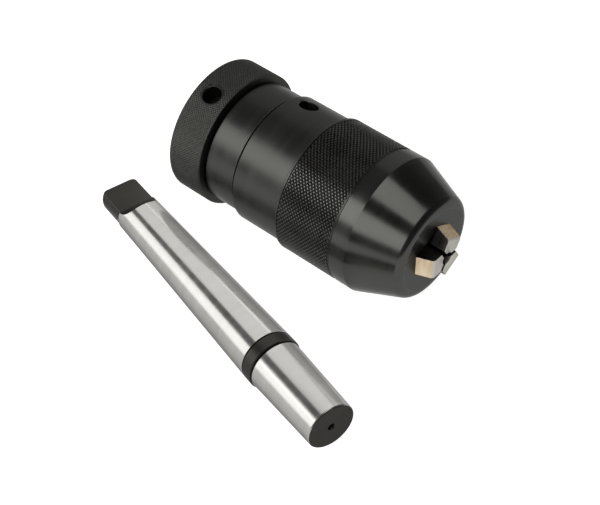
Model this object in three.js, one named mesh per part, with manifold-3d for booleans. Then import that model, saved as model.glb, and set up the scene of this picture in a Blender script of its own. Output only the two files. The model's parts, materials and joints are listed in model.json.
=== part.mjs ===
// Keyless drill chuck lying on its side, with its loose taper arbor beside it on the bench.
// Millimetres. +X runs along the chuck from its rear face to its jaws, +Z is up, z = 0 is the bench.
// Along the chuck, x is measured from the rear face; profiles are lists of [x, radius].
//
// How it works: the drive screw has a left-hand thread in the chuck body. Turning the outer shell takes
// the jaw guide, the jaws and the screw round with it, so the screw runs in or out of the body. Its
// T-slotted head pushes the three jaws along the guide's inclined channels, which closes or opens them.
import * as THREE from "three";
import { mergeVertices } from "three/addons/utils/BufferGeometryUtils.js";
import Module from "manifold-3d";

const wasm = await Module();
wasm.setup();

// ---- Driving dimensions ----
const CHUCK_RADIUS = 23;
const NOSE_X = 88;
const NOSE_RADIUS = 16.66; // where the cone would meet the nose face
const NOSE_ROUND = 3;
const RING_END_X = 12.9; // knurled rear ring
const SEAM_X = 26.2; // bearing sleeve meets hood
const KNURL_X = 44.4; // diamond knurl starts
const CONE_X = 71.9; // nose cone starts
const SLEEVE_RADIUS = 20.8;
const HOOD_RADIUS = 21.9; // plain part of the hood

const SOCKET_MOUTH_RADIUS = 8.585; // No. 6 Jacobs taper, 17.170 mm at the mouth
const SOCKET_SLOPE = 0.02596; // radius lost per millimetre of depth
const SOCKET_DEPTH = 26;
const CORE_RADIUS = 13.4;
const FLANGE_RADIUS = 17;
const FRONT_TUBE_RADIUS = 11;
const BODY_FRONT_X = 48.3;

const THREAD_RADIUS = 6; // drive screw, threads drawn as plain cylinders
const THREAD_GAP = 0.2;
const SCREW_REAR_X = 42.1;
const HEAD_REAR_X = 63.6;
const HEAD_FRONT_X = 70.6;
const HEAD_RADIUS = 17.2;

const JAW_COUNT = 3;
const JAW_ANGLE = THREE.MathUtils.degToRad(21);
const JAW_WIDTH = 7.4;
const JAW_TIP_X = 93.15;
const JAW_BACK_AT_NOSE = 8.57;
const JAW_TAIL_RADIUS = 13.4;
const JAW_OPEN_RADIUS = 0.95; // half the gap left between the jaws as they lie
const JAW_CLOCK = [180, 60, -60]; // degrees from +Y towards +Z

const BALL_COUNT = 16;
const BALL_RADIUS = 1.5;
const BALL_PITCH_RADIUS = 15.45;
const BALL_X = 18.1;

const SPANNER_HOLE_RADIUS = 3.15;
const RING_HOLE = { x: 6.4, clock: 112, floor: 16 };
const HOOD_HOLE = { x: 32.1, clock: 69, floor: 18.95 };

const TAPER_SLOPE = 1 / 40.04; // No. 2 Morse taper, radius per millimetre
const SHANK_RADIUS = 9; // at the collar
const CONE_LENGTH = 75; // collar to the small end of the Morse cone
const ARBOR_TANG_X = -87;
const TANG_RADIUS = 6.75;
const TANG_THICKNESS = 6.3;
const COLLAR_LENGTH = 4.3;
const SHORT_TAPER_LENGTH = 28;
const ARBOR_PLACE = { x: 69.8, y: -54.8, yaw: -14.6 };

const FIT = 0.1; // gap at a joint that doesn't move
const SLIDE = 0.15; // gap at a face that slides
const FINE = 48; // facets round an outside surface
const COARSE = 36; // facets round an inside piece

const slope = Math.tan(JAW_ANGLE);
const coneSlope = (CHUCK_RADIUS - NOSE_RADIUS) / (NOSE_X - CONE_X);

// ---- Materials ----
const steel = (color, roughness) => new THREE.MeshStandardMaterial({ color, roughness, metalness: 1 });
const blackOxide = steel(0x2a2a28, 0.38);
const knurledOxide = steel(0x242423, 0.55);
const hardSteel = steel(0x8d8a84, 0.35);
const groundSteel = steel(0xc4c2be, 0.25);
const bearingSteel = steel(0xb8bcc0, 0.12);
const brass = steel(0xb08d4a, 0.4);

// ---- Geometry helpers ----
// Turns a profile of [x, radius] points round the X axis. A profile that doesn't start on the axis is
// closed into a ring.
function turned(profile, facets = FINE) {
  const points = profile.map(([x, r]) => new THREE.Vector2(r, x));
  if (THREE.ShapeUtils.area(points) < 0) points.reverse();
  if (profile[0][1] > 0) points.push(points[0].clone());
  return new THREE.LatheGeometry(points, facets).rotateZ(-Math.PI / 2);
}

// An outline of [x, y] points, width wide across Z and centred on it.
function plate(outline, width) {
  const shape = new THREE.Shape(outline.map(([x, y]) => new THREE.Vector2(x, y)));
  const geometry = new THREE.ExtrudeGeometry(shape, { depth: width, bevelEnabled: false });
  return geometry.translate(0, 0, -width / 2);
}

// An outline of [y, z] points, drawn out along X from x0 to x1.
function bar(outline, x0, x1) {
  const shape = new THREE.Shape(outline.map(([y, z]) => new THREE.Vector2(y, z)));
  const geometry = new THREE.ExtrudeGeometry(shape, { depth: x1 - x0, bevelEnabled: false });
  const yzToX = new THREE.Matrix4().makeBasis(
    new THREE.Vector3(0, 1, 0),
    new THREE.Vector3(0, 0, 1),
    new THREE.Vector3(1, 0, 0),
  );
  return geometry.applyMatrix4(yzToX).translate(x0, 0, 0);
}

// A round drill standing on the X axis at x, pointing out at a clock angle, from radius r0 to r1.
function radialDrill(x, clock, r0, r1) {
  const drill = new THREE.CylinderGeometry(SPANNER_HOLE_RADIUS, SPANNER_HOLE_RADIUS, r1 - r0, 20);
  return drill.translate(0, (r0 + r1) / 2, 0).rotateX(THREE.MathUtils.degToRad(clock)).translate(x, 0, 0);
}

function toSolid(geometry) {
  const bare = geometry.clone().deleteAttribute("normal").deleteAttribute("uv");
  const merged = mergeVertices(bare, 1e-4);
  const index = merged.index.array;
  const triVerts = [];
  for (let i = 0; i < index.length; i += 3) {
    const [a, b, c] = [index[i], index[i + 1], index[i + 2]];
    if (a !== b && b !== c && c !== a) triVerts.push(a, b, c);
  }
  const vertProperties = merged.attributes.position.array;
  const mesh = new wasm.Mesh({ numProp: 3, vertProperties, triVerts: new Uint32Array(triVerts) });
  return new wasm.Manifold(mesh);
}

function toGeometry(solid) {
  const mesh = solid.getMesh();
  const geometry = new THREE.BufferGeometry();
  geometry.setAttribute("position", new THREE.BufferAttribute(new Float32Array(mesh.vertProperties), 3));
  geometry.setIndex(new THREE.BufferAttribute(new Uint32Array(mesh.triVerts), 1));
  geometry.computeVertexNormals();
  return geometry;
}

// Cuts every tool from the blank.
function cut(blank, tools) {
  return toGeometry(tools.reduce((solid, tool) => solid.subtract(toSolid(tool)), toSolid(blank)));
}

const atClock = (geometry, degrees) => geometry.rotateX(THREE.MathUtils.degToRad(degrees));

const named = (name, geometry, material) => {
  const mesh = new THREE.Mesh(geometry, material);
  mesh.name = name;
  return mesh;
};

// ---- Body, held still while the shell turns ----
function chuckBody() {
  const socketRadius = (depth) => SOCKET_MOUTH_RADIUS - SOCKET_SLOPE * depth;
  const flangeX = 20.6;
  const flangeEndX = 24.6;
  const boreX = SOCKET_DEPTH + 0.8;
  const chamfer = 0.5;
  return turned([
    [SOCKET_DEPTH, 0],
    [SOCKET_DEPTH, socketRadius(SOCKET_DEPTH)],
    [chamfer, socketRadius(chamfer)],
    [0, SOCKET_MOUTH_RADIUS + chamfer],
    [0, CORE_RADIUS - chamfer],
    [chamfer, CORE_RADIUS],
    [flangeX, CORE_RADIUS],
    [flangeX, FLANGE_RADIUS],
    [flangeEndX, FLANGE_RADIUS],
    [flangeEndX, FRONT_TUBE_RADIUS],
    [BODY_FRONT_X - chamfer, FRONT_TUBE_RADIUS],
    [BODY_FRONT_X, FRONT_TUBE_RADIUS - chamfer],
    [BODY_FRONT_X, THREAD_RADIUS + THREAD_GAP],
    [boreX, THREAD_RADIUS + THREAD_GAP],
    [boreX, 0],
  ]);
}

function rearRing() {
  const [rearChamfer, frontChamfer] = [0.6, 0.3];
  const blank = turned([
    [0, CORE_RADIUS + FIT],
    [0, CHUCK_RADIUS - rearChamfer],
    [rearChamfer, CHUCK_RADIUS],
    [RING_END_X - frontChamfer, CHUCK_RADIUS],
    [RING_END_X, CHUCK_RADIUS - frontChamfer],
    [RING_END_X, CORE_RADIUS + FIT],
  ]);
  return cut(blank, [radialDrill(RING_HOLE.x, RING_HOLE.clock, RING_HOLE.floor, CHUCK_RADIUS + 1)]);
}

// ---- Thrust bearing between the body's flange and the sleeve's lip ----
// A washer from x0 to x1 with a round groove for the balls in the face at grooveX.
function race(x0, x1, grooveX) {
  const [inner, outer] = [13.6, 17.25];
  const grooveRadius = BALL_RADIUS + FIT;
  const depth = Math.abs(grooveX - BALL_X);
  const half = Math.acos(depth / grooveRadius);
  const side = Math.sign(grooveX - BALL_X);
  const steps = 4;
  const groove = [];
  for (let i = 0; i <= steps; i += 1) {
    const turn = half * (1 - (2 * i) / steps);
    const [along, out] = [grooveRadius * Math.cos(turn), grooveRadius * Math.sin(turn)];
    groove.push([BALL_X + side * along, BALL_PITCH_RADIUS + out]);
  }
  const farX = grooveX === x0 ? x1 : x0;
  return turned([[farX, inner], [farX, outer], [grooveX, outer], ...groove, [grooveX, inner]], COARSE);
}

function ballCage() {
  const [inner, outer] = [13.65, 17.25];
  const halfWidth = 0.7;
  const blank = turned([
    [BALL_X - halfWidth, inner],
    [BALL_X - halfWidth, outer],
    [BALL_X + halfWidth, outer],
    [BALL_X + halfWidth, inner],
  ], COARSE);
  const pocket = (i) => {
    const tool = new THREE.CylinderGeometry(BALL_RADIUS + 0.07, BALL_RADIUS + 0.07, 4, 10);
    tool.rotateZ(Math.PI / 2).translate(BALL_X, BALL_PITCH_RADIUS, 0);
    return atClock(tool, (360 * i) / BALL_COUNT);
  };
  return cut(blank, Array.from({ length: BALL_COUNT }, (_, i) => pocket(i)));
}

function ball(i) {
  const sphere = new THREE.SphereGeometry(BALL_RADIUS, 10, 7).rotateZ(Math.PI / 2);
  return atClock(sphere.translate(BALL_X, BALL_PITCH_RADIUS, 0), (360 * i) / BALL_COUNT);
}

// ---- Outer shell ----
function bearingSleeve() {
  const startX = RING_END_X + 0.9;
  const lipEndX = 15.4;
  const spigotEndX = 33.5;
  const chamfer = 0.5;
  return turned([
    [startX, CORE_RADIUS + 0.4],
    [startX, SLEEVE_RADIUS - chamfer],
    [startX + chamfer, SLEEVE_RADIUS],
    [SEAM_X, SLEEVE_RADIUS],
    [SEAM_X, HOOD_HOLE.floor - FIT],
    [spigotEndX, HOOD_HOLE.floor - FIT],
    [spigotEndX, FLANGE_RADIUS + 0.4],
    [lipEndX, FLANGE_RADIUS + 0.4],
    [lipEndX, CORE_RADIUS + 0.4],
  ]);
}

const BORE_RADIUS = 19.6; // inside the hood
const NOSE_BORE_RADIUS = 14.1;
const boreConeX = NOSE_X - (BORE_RADIUS - NOSE_BORE_RADIUS) / coneSlope;

// The turned round that joins the cone to the flat nose face.
function noseRound() {
  const turn = Math.PI / 2 - Math.atan(coneSlope);
  const centreX = NOSE_X - NOSE_ROUND;
  const centreRadius = NOSE_RADIUS - NOSE_ROUND * Math.tan(turn / 2);
  const steps = 4;
  return Array.from({ length: steps + 1 }, (_, i) => {
    const angle = turn * (1 - i / steps);
    return [centreX + NOSE_ROUND * Math.cos(angle), centreRadius + NOSE_ROUND * Math.sin(angle)];
  });
}

function hood() {
  const startX = SEAM_X + 0.15;
  const threadEndX = 34;
  const threadRadius = HOOD_HOLE.floor;
  const chamfer = 0.3;
  const blank = turned([
    [startX, threadRadius],
    [startX, HOOD_RADIUS - chamfer],
    [startX + chamfer, HOOD_RADIUS],
    [KNURL_X, HOOD_RADIUS],
    [KNURL_X, CHUCK_RADIUS - chamfer],
    [KNURL_X + chamfer, CHUCK_RADIUS],
    [CONE_X, CHUCK_RADIUS],
    ...noseRound(),
    [NOSE_X, NOSE_BORE_RADIUS],
    [boreConeX, BORE_RADIUS],
    [threadEndX, BORE_RADIUS],
    [threadEndX, threadRadius],
  ]);
  return cut(blank, [radialDrill(HOOD_HOLE.x, HOOD_HOLE.clock, HOOD_HOLE.floor - 2, HOOD_RADIUS + 2)]);
}

function lockRing() {
  const [x0, x1, inner] = [44.8, 48, 15];
  const outer = BORE_RADIUS - FIT;
  return turned([[x0, inner], [x0, outer], [x1, outer], [x1, inner]], COARSE);
}

// ---- Jaw guide: a conical plug with three inclined channels and a skirt round the screw's head ----
function jawGuide() {
  const rearX = 48.2;
  const skirtRadius = HEAD_RADIUS + 0.4;
  const skirtEndX = 72.7;
  const boreRadius = 6.6;
  const chamfer = 0.5;
  const outer = BORE_RADIUS - FIT;
  const blank = turned([
    [rearX, skirtRadius],
    [rearX, outer],
    [boreConeX, outer],
    [NOSE_X, NOSE_BORE_RADIUS - FIT],
    [NOSE_X, boreRadius + chamfer],
    [NOSE_X - chamfer, boreRadius],
    [skirtEndX, boreRadius],
    [skirtEndX, skirtRadius],
  ]);
  const channelX = 50.6;
  const floor = (x) => JAW_BACK_AT_NOSE + SLIDE + (NOSE_X - x) * slope;
  const pastNoseX = NOSE_X + 1;
  const through = BORE_RADIUS + 0.4;
  const throughX = NOSE_X - (through - JAW_BACK_AT_NOSE - SLIDE) / slope;
  const channel = [
    [channelX, 0],
    [pastNoseX, 0],
    [pastNoseX, floor(pastNoseX)],
    [throughX, through],
    [channelX, through],
  ];
  return cut(blank, JAW_CLOCK.map((clock) => atClock(plate(channel, JAW_WIDTH + 2 * SLIDE), clock)));
}

// ---- Drive screw: threaded shank and a head with three T-slots ----
const SLOT_NECK_WIDTH = 4.4;
const SLOT_FLOOR_X = HEAD_REAR_X + 2.4;
const SLOT_LIP_X = HEAD_FRONT_X - 2.2;
const TAIL_GAP = 0.1; // between a jaw's tail and its slot, along X

function driveScrew() {
  const chamfer = 0.6;
  const slotInner = 4.3;
  const blank = turned([
    [SCREW_REAR_X, 0],
    [SCREW_REAR_X, THREAD_RADIUS - chamfer],
    [SCREW_REAR_X + chamfer, THREAD_RADIUS],
    [HEAD_REAR_X, THREAD_RADIUS],
    [HEAD_REAR_X, HEAD_RADIUS],
    [HEAD_FRONT_X, HEAD_RADIUS],
    [HEAD_FRONT_X, 0],
  ], COARSE);
  const slot = (x0, x1) => [[x0, slotInner], [x1, slotInner], [x1, HEAD_RADIUS + 1], [x0, HEAD_RADIUS + 1]];
  const tools = JAW_CLOCK.flatMap((clock) => [
    atClock(plate(slot(SLOT_FLOOR_X, SLOT_LIP_X), JAW_WIDTH + 2 * SLIDE), clock),
    atClock(plate(slot(SLOT_LIP_X - 0.5, HEAD_FRONT_X + 1), SLOT_NECK_WIDTH), clock),
  ]);
  return cut(blank, tools);
}

// ---- Jaw: a wedge with a 120 degree gripping edge and a T-shaped tail ----
const LEAD_IN_RADIUS = 2.2; // conical mouth across the three tips
const LEAD_IN_DEPTH = 1.2;

function jaw(clock) {
  const backRadius = (x) => JAW_BACK_AT_NOSE + (NOSE_X - x) * slope;
  const tailX = NOSE_X - (JAW_TAIL_RADIUS - JAW_BACK_AT_NOSE) / slope;
  const [footX, neckX, bodyX] = [SLOT_FLOOR_X + TAIL_GAP, SLOT_LIP_X - TAIL_GAP, HEAD_FRONT_X + TAIL_GAP];
  const [footInner, footOuter] = [5.2, 12.9];
  const tipChamfer = 0.5;
  const side = [
    [footX, footInner],
    [bodyX, footInner],
    [bodyX, 0],
    [JAW_TIP_X, 0],
    [JAW_TIP_X, backRadius(JAW_TIP_X) - tipChamfer],
    [JAW_TIP_X - tipChamfer, backRadius(JAW_TIP_X - tipChamfer)],
    [tailX, JAW_TAIL_RADIUS],
    [bodyX, JAW_TAIL_RADIUS],
    [bodyX, footOuter],
    [footX, footOuter],
  ];
  const half = JAW_WIDTH / 2;
  const land = 0.4; // half the flat on the gripping edge
  const flankRadius = JAW_OPEN_RADIUS + (half - land) / Math.tan(Math.PI / 3);
  const section = [
    [JAW_OPEN_RADIUS, -land],
    [flankRadius, -half],
    [JAW_TAIL_RADIUS + 1, -half],
    [JAW_TAIL_RADIUS + 1, half],
    [flankRadius, half],
    [JAW_OPEN_RADIUS, land],
  ];
  const wedge = toSolid(plate(side, JAW_WIDTH)).intersect(toSolid(bar(section, footX - 1, JAW_TIP_X + 1)));
  const neckHalf = SLOT_NECK_WIDTH / 2 - SLIDE;
  const pastBack = JAW_TAIL_RADIUS + 2;
  const besideNeck = (z0, z1) => bar([[0, z0], [pastBack, z0], [pastBack, z1], [0, z1]], neckX, bodyX);
  const shaped = wedge
    .subtract(toSolid(besideNeck(neckHalf, half + 1)))
    .subtract(toSolid(besideNeck(-half - 1, -neckHalf)));
  const leadIn = turned([
    [JAW_TIP_X - LEAD_IN_DEPTH, 0],
    [JAW_TIP_X - LEAD_IN_DEPTH, LEAD_IN_RADIUS - LEAD_IN_DEPTH],
    [JAW_TIP_X + 1, LEAD_IN_RADIUS + 1],
    [JAW_TIP_X + 1, 0],
  ], 24);
  return atClock(toGeometry(shaped.subtract(toSolid(leadIn))), clock);
}

// ---- Arbor: Morse shank with a tang, a collar and a short taper; x = 0 is the collar's rear face ----
function taperArbor() {
  const tangShoulder = 0.8;
  const tangRound = 1.6;
  const endX = COLLAR_LENGTH + SHORT_TAPER_LENGTH;
  const shortRadius = (x) => SOCKET_MOUTH_RADIUS - SOCKET_SLOPE * (x - COLLAR_LENGTH);
  const smallRadius = SHANK_RADIUS - CONE_LENGTH * TAPER_SLOPE;
  const chamfer = 0.6;
  const [centreMouth, centreDrill, centreDepth] = [2.2, 1, 5];
  const blank = turned([
    [ARBOR_TANG_X, 0],
    [ARBOR_TANG_X, TANG_RADIUS - tangRound],
    [ARBOR_TANG_X + 0.3 * tangRound, TANG_RADIUS - 0.3 * tangRound],
    [ARBOR_TANG_X + tangRound, TANG_RADIUS],
    [-CONE_LENGTH - tangShoulder, TANG_RADIUS],
    [-CONE_LENGTH, smallRadius],
    [0, SHANK_RADIUS],
    [COLLAR_LENGTH, SHANK_RADIUS],
    [COLLAR_LENGTH, SOCKET_MOUTH_RADIUS],
    [endX - chamfer, shortRadius(endX - chamfer)],
    [endX, shortRadius(endX) - chamfer],
    [endX, centreMouth],
    [endX - (centreMouth - centreDrill) * Math.sqrt(3), centreDrill],
    [endX - centreDepth, centreDrill],
    [endX - centreDepth - 0.6, 0],
  ]);
  return cut(blank, [tangFlat(1), tangFlat(-1)]);
}

// The cutter's path that leaves one flat of the tang, with its round run-out towards the shank.
function tangFlat(side) {
  const runOut = 6;
  const flat = TANG_THICKNESS / 2;
  const centreX = -CONE_LENGTH - 1;
  const path = new THREE.Shape();
  path.moveTo(ARBOR_TANG_X - 1, flat);
  path.lineTo(centreX, flat);
  path.absarc(centreX, flat + runOut, runOut, -Math.PI / 2, 0, false);
  path.lineTo(ARBOR_TANG_X - 1, flat + runOut);
  const cutter = new THREE.ExtrudeGeometry(path, { depth: 20, bevelEnabled: false, curveSegments: 8 });
  return cutter.translate(0, 0, -10).rotateX((side * Math.PI) / 2);
}

// ---- Assembly ----
const chuck = new THREE.Group();
chuck.position.z = CHUCK_RADIUS;
chuck.add(
  named("chuck_body", chuckBody(), blackOxide),
  named("rear_ring", rearRing(), knurledOxide),
  named("body_race", race(19.4, 20.5, 19.4), bearingSteel),
  named("sleeve_race", race(15.5, 16.8, 16.8), bearingSteel),
  named("ball_cage", ballCage(), brass),
  named("bearing_sleeve", bearingSleeve(), blackOxide),
  named("hood", hood(), blackOxide),
  named("lock_ring", lockRing(), hardSteel),
  named("jaw_guide", jawGuide(), blackOxide),
  named("drive_screw", driveScrew(), hardSteel),
);
for (let i = 0; i < BALL_COUNT; i += 1) {
  chuck.add(named(`bearing_ball_${String(i + 1).padStart(2, "0")}`, ball(i), bearingSteel));
}
for (let i = 0; i < JAW_COUNT; i += 1) {
  chuck.add(named(`jaw_${i + 1}`, jaw(JAW_CLOCK[i]), hardSteel));
}

// The arbor rests on the lowest line of its Morse cone, so its axis climbs towards the short taper.
const arbor = new THREE.Group();
const coneHalfAngle = Math.atan(TAPER_SLOPE);
arbor.position.set(ARBOR_PLACE.x, ARBOR_PLACE.y, SHANK_RADIUS * Math.cos(coneHalfAngle));
arbor.rotation.set(0, -coneHalfAngle, THREE.MathUtils.degToRad(ARBOR_PLACE.yaw), "ZYX");
arbor.add(named("taper_arbor", taperArbor(), groundSteel));

// The row's origin is on the bench, under the middle of both pieces.
const group = new THREE.Group();
group.add(chuck, arbor);
group.updateMatrixWorld(true);
const middle = new THREE.Box3().setFromObject(group, true).getCenter(new THREE.Vector3());
group.position.set(-middle.x, -middle.y, 0);

export default group;
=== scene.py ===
# %% [markdown]
# # A keyless drill chuck and its taper arbor
# The chuck lies on its side on a bench, and the arbor that would carry it lies loose beside it.
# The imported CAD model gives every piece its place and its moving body. This lesson makes finer
# pieces round the same axes: turned steel, knurls, ground jaws, and the finishes on them.

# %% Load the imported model
import json
import math

import bmesh
import bpy
import numpy as np
from mathutils import Matrix, Vector

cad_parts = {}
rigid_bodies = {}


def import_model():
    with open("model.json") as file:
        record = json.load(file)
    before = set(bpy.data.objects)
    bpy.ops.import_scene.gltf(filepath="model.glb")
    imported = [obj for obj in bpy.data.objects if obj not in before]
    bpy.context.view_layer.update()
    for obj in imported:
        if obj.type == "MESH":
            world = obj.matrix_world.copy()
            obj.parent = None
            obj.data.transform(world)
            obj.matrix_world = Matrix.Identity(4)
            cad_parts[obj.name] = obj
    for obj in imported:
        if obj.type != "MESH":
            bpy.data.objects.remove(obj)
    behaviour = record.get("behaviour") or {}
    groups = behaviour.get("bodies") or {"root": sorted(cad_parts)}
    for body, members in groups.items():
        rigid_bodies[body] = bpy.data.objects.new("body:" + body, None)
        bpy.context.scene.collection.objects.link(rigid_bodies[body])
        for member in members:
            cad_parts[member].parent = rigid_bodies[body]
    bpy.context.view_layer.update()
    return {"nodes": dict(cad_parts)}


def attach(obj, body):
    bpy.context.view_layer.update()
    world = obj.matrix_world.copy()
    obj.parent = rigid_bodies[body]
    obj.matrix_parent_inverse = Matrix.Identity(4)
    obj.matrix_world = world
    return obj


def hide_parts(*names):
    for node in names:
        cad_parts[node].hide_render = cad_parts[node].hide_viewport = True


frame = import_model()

# %% [markdown]
# ## Camera
# The camera looks down at the chuck from in front of its jaws, about 46 degrees above the bench,
# with a long lens so that the round ends stay nearly parallel. It only needs a place and a
# target.

# %% Place the camera
CAMERA_PLACE = Vector((0.22404, -0.24657, 0.35900))
CAMERA_TARGET = Vector((0.000342, 0.013534, 0.0))
LENS, SENSOR = 93.05, 36.0

camera_data = bpy.data.cameras.new("camera")
camera_data.lens = LENS
camera_data.sensor_width = SENSOR
camera_data.clip_start = 0.01
camera = bpy.data.objects.new("camera", camera_data)
bpy.context.scene.collection.objects.link(camera)
camera.location = CAMERA_PLACE
camera.rotation_euler = (CAMERA_TARGET - CAMERA_PLACE).to_track_quat("-Z", "Y").to_euler()
bpy.context.scene.camera = camera
print("Camera distance in metres:", round((CAMERA_TARGET - CAMERA_PLACE).length, 4))

# %% [markdown]
# ## Bench and studio light
# Polished metal shows what stands round it more than what shines on it. So the room is dim, and
# soft panels stand in it: a long one in front and one overhead draw the broad pale stripes along
# the chuck. Four more and a white card shine on the arbor alone, because ground steel wants paler
# surroundings than black steel. The bench is a pale sheet, seen whiter than it shines, as on a
# light table.

# %% Helpers for node trees
def add_node(tree, kind, inputs=None, **settings):
    """Adds a node, sets its properties, and fills or links its inputs by name or number."""
    node = tree.nodes.new(kind)
    for name, value in settings.items():
        setattr(node, name, value)
    for key, value in (inputs or {}).items():
        socket = node.inputs[key]
        if isinstance(value, bpy.types.NodeSocket):
            tree.links.new(value, socket)
        else:
            socket.default_value = value
    return node


def new_material(name):
    """An empty node material, and its Principled shader already wired to the output."""
    material = bpy.data.materials.new(name)
    material.use_nodes = True
    tree = material.node_tree
    tree.nodes.clear()
    shader = add_node(tree, "ShaderNodeBsdfPrincipled")
    output = add_node(tree, "ShaderNodeOutputMaterial")
    tree.links.new(shader.outputs["BSDF"], output.inputs["Surface"])
    return material, tree, shader


# %% [markdown]
# A soft panel is given by where it stands, what it faces, its two sides and how bright its face
# looks. The collections say which pieces a panel shines on. They are filled at the end, once the
# pieces are there.

# %% Make the bench and the lights
arbor_only = bpy.data.collections.new("arbor_only")
chuck_only = bpy.data.collections.new("chuck_only")
all_but_arbor = bpy.data.collections.new("all_but_arbor")


def soft_panel(name, place, aim, width, height, radiance, receivers=None):
    """A rectangular area light. Its watts are what gives its face that radiance. With receivers, it
    shines on that collection alone. Only the arbor itself can shade the arbor's own panels."""
    light = bpy.data.lights.new(name, "AREA")
    light.shape = "RECTANGLE"
    light.size, light.size_y = width, height
    light.energy = radiance * math.pi * width * height
    panel = bpy.data.objects.new(name, light)
    bpy.context.scene.collection.objects.link(panel)
    panel.location = place
    panel.rotation_euler = (Vector(aim) - Vector(place)).to_track_quat("-Z", "Y").to_euler()
    panel.visible_camera = False
    if receivers:
        panel.light_linking.receiver_collection = receivers
    if receivers == arbor_only:
        panel.light_linking.blocker_collection = receivers
    return panel


BENCH_HALF = 1.6
BENCH_GAP = 0.0002  # keeps the bench just clear of the pieces that lie on it
bench_mesh = bpy.data.meshes.new("bench")
corner_signs = ((-1, -1), (1, -1), (1, 1), (-1, 1))
bench_corners = [(x * BENCH_HALF, y * BENCH_HALF, 0) for x, y in corner_signs]
bench_mesh.from_pydata(bench_corners, [], [(0, 1, 2, 3)])
bench = bpy.data.objects.new("bench", bench_mesh)
bpy.context.scene.collection.objects.link(bench)
bench.location.z = -BENCH_GAP

PAPER_IN_MIRRORS = 0.45  # how pale the metal sees the paper, which the camera sees whiter
BENCH_GLOW, BENCH_SEEN = 0.82, 0.85
bench_paint, bench_tree, bench_shader = new_material("bench_paper")
paper_grain = add_node(bench_tree, "ShaderNodeTexNoise", {"Scale": 900.0, "Detail": 2.0})
paper_tone = add_node(
    bench_tree, "ShaderNodeMapRange",
    {"Value": paper_grain.outputs["Fac"], "To Min": 0.80, "To Max": 0.84},
)
bench_rays = add_node(bench_tree, "ShaderNodeLightPath")
seen = bench_rays.outputs["Is Camera Ray"]
paper_shown = add_node(
    bench_tree, "ShaderNodeMix", {0: seen, 2: PAPER_IN_MIRRORS, 3: paper_tone.outputs["Result"]},
)
bench_tree.links.new(paper_shown.outputs[0], bench_shader.inputs["Base Color"])
bench_shader.inputs["Roughness"].default_value = 0.9
bench_shader.inputs["Emission Color"].default_value = (1, 1, 1, 1)
bench_level = add_node(
    bench_tree, "ShaderNodeMapRange", {"Value": seen, "To Min": BENCH_GLOW, "To Max": BENCH_SEEN},
)
bench_tree.links.new(bench_level.outputs["Result"], bench_shader.inputs["Emission Strength"])
bench_mesh.materials.append(bench_paint)

ROOM_LOW, ROOM_HIGH, ROOM_SEEN = 0.56, 0.26, 1.0  # near the bench, overhead, and to the camera
room = bpy.data.worlds.new("room")
room.use_nodes = True
bpy.context.scene.world = room
room_tree = room.node_tree
room_tree.nodes.clear()
rays = add_node(room_tree, "ShaderNodeLightPath")
sky = add_node(room_tree, "ShaderNodeTexCoord")
sky_height = add_node(room_tree, "ShaderNodeSeparateXYZ", {"Vector": sky.outputs["Generated"]})
glow = add_node(
    room_tree, "ShaderNodeMapRange",
    {"Value": sky_height.outputs["Z"], "From Max": 0.6, "To Min": ROOM_LOW, "To Max": ROOM_HIGH},
)
side_share = add_node(
    room_tree, "ShaderNodeMapRange",
    {
        "Value": sky_height.outputs["X"], "From Min": -0.45, "From Max": 0.25,
        "To Min": 1.0, "To Max": 0.45,
    },
)
dimmed = add_node(
    room_tree, "ShaderNodeMath", {0: glow.outputs["Result"], 1: side_share.outputs["Result"]},
    operation="MULTIPLY",
)
room_level = add_node(
    room_tree, "ShaderNodeMix",
    {0: rays.outputs["Is Camera Ray"], 2: dimmed.outputs[0], 3: ROOM_SEEN},
)
room_light = add_node(room_tree, "ShaderNodeBackground", {"Strength": room_level.outputs[0]})
add_node(room_tree, "ShaderNodeOutputWorld", {"Surface": room_light.outputs["Background"]})

soft_panel("front_panel", (-0.15, -0.61, 0.49), (0, 0, 0.02), 1.3, 0.50, 2.45, all_but_arbor)
soft_panel("overhead_panel", (0.18, 0.04, 0.75), (0.02, 0, 0.02), 0.50, 0.24, 2.2)
CHUCK_MIDDLE, ARBOR_MIDDLE = (0.0, 0.024, 0.023), (-0.012, -0.021, 0.009)
CARD_PLACE, CARD_AIM = (-0.0042, -0.0108, 0.0182), (-0.0294, -0.1075, 0.0182)
soft_panel("chuck_far_panel", (-0.41, 0.60, 0.40), CHUCK_MIDDLE, 0.60, 0.70, 0.28, chuck_only)
soft_panel("arbor_low_panel", (-0.667, -0.515, 0.155), ARBOR_MIDDLE, 0.70, 0.58, 2.25, arbor_only)
soft_panel("arbor_high_panel", (-0.43, 0.24, 0.62), ARBOR_MIDDLE, 0.84, 0.56, 1.4, arbor_only)
soft_panel("arbor_far_panel", (-0.36, 0.70, 0.22), ARBOR_MIDDLE, 0.60, 0.60, 0.4, arbor_only)
soft_panel("white_card", CARD_PLACE, CARD_AIM, 0.125, 0.019, 0.7, arbor_only)
soft_panel("arbor_nose_panel", (-0.476, -0.517, 0.388), ARBOR_MIDDLE, 0.20, 0.18, 1.5, arbor_only)
bpy.context.scene.view_settings.view_transform = "Standard"

# %% [markdown]
# ## Two axes to build on
# Nearly every piece is turned, so it is drawn as a profile along an axis: millimetres along the
# axis, and millimetres out from it. The chuck's axis starts at its rear face. The arbor's axis
# starts at the rear of its collar, and lies askew and a hair uphill because the shank is a cone.
# Both are measured on the CAD pieces, so the fine pieces can't drift from them.

# %% Measure the chuck's axis and the arbor's axis
MM = 0.001


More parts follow.
